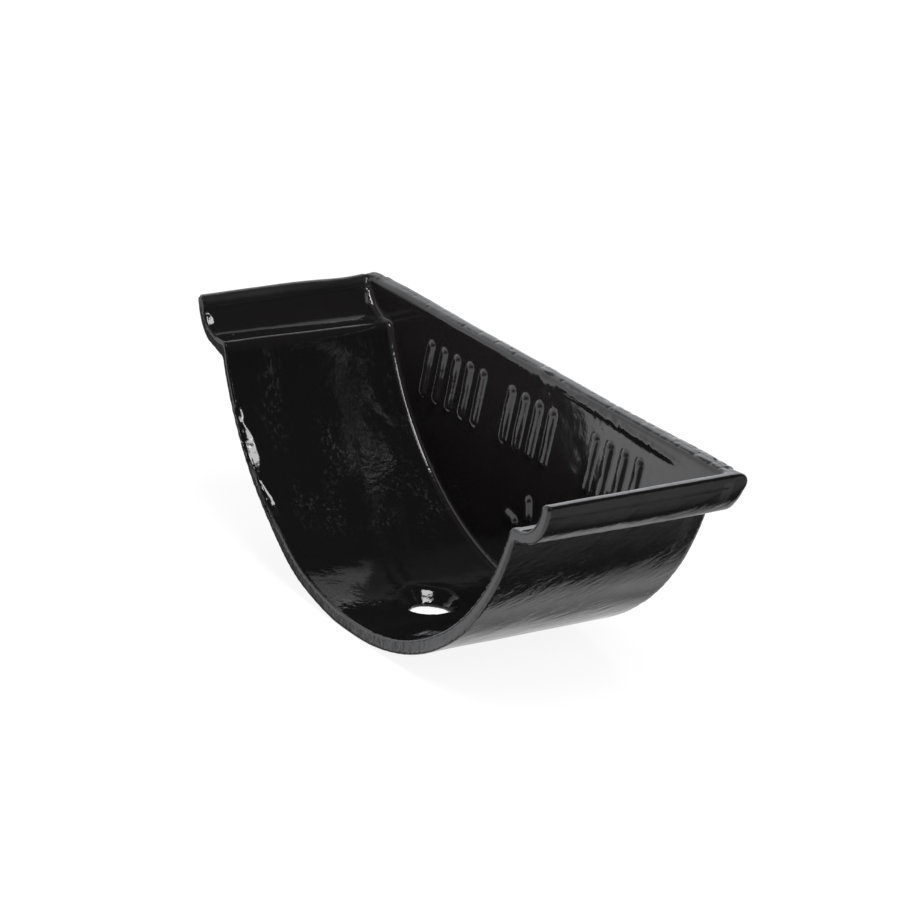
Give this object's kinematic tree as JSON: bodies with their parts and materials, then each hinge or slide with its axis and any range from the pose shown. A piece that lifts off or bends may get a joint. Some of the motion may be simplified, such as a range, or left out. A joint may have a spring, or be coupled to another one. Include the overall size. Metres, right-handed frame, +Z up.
{
  "type": "gutter end cap",
  "caption": "Half-round cast gutter stop end: an open-topped bowl with curled lips that takes a beaded gutter's end, closed by a flat plate, with a bolt hole beneath.",
  "frame": {"origin": "middle of the footprint, at the lowest line of the round underside", "axes": "+X across the gutter, from lip to lip; +Y along the gutter, from the open end to the end plate; +Z up"},
  "size_m": [0.1498, 0.048, 0.0555],
  "materials": {
    "black_paint": "gloss"
  },
  "bodies": {
    "root": {"end_cap": "black_paint"}
  },
  "joints": []
}
